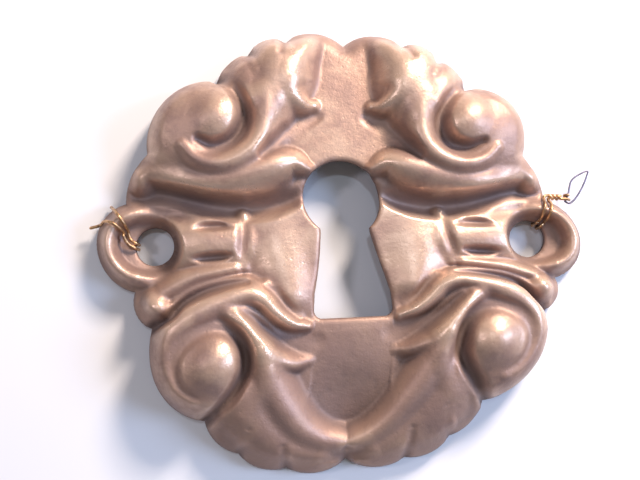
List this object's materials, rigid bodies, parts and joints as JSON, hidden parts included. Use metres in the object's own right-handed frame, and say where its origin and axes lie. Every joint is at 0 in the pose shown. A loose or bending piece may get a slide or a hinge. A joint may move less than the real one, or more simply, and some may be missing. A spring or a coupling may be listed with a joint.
{
  "type": "keyhole escutcheon",
  "caption": "Ornate stamped keyhole escutcheon with scroll relief, pierced by a keyhole and two nail holes, with tie wires through its ears and a fine wire loop that swings in an eye.",
  "frame": {"origin": "midway between the two nail holes, on the plane that the back rim rests on", "axes": "+X towards the right-hand ear as seen from the front, +Y up the keyhole towards its round top, +Z out of the front face"},
  "size_m": [0.0524, 0.0458, 0.0078],
  "materials": {
    "aged_brass": "aged stamped brass with a dark copper-brown patina, semi-gloss on the high spots",
    "copper_wire": "thin annealed copper-coloured wire, slightly tarnished",
    "dark_wire": "fine darkened steel wire"
  },
  "bodies": {
    "plate": {"escutcheon_plate": "aged_brass", "left_tie_wire": "copper_wire", "right_tie_wire": "copper_wire"},
    "loop": {"wire_loop": "dark_wire"}
  },
  "joints": [
    {"name": "loop_swing", "type": "hinge", "parent": "plate", "child": "loop", "pos_m": [0.02395, 0.0043, 0.00145], "axis": [-0.4472, -0.8944, 0], "range_deg": [-60, 75]}
  ]
}
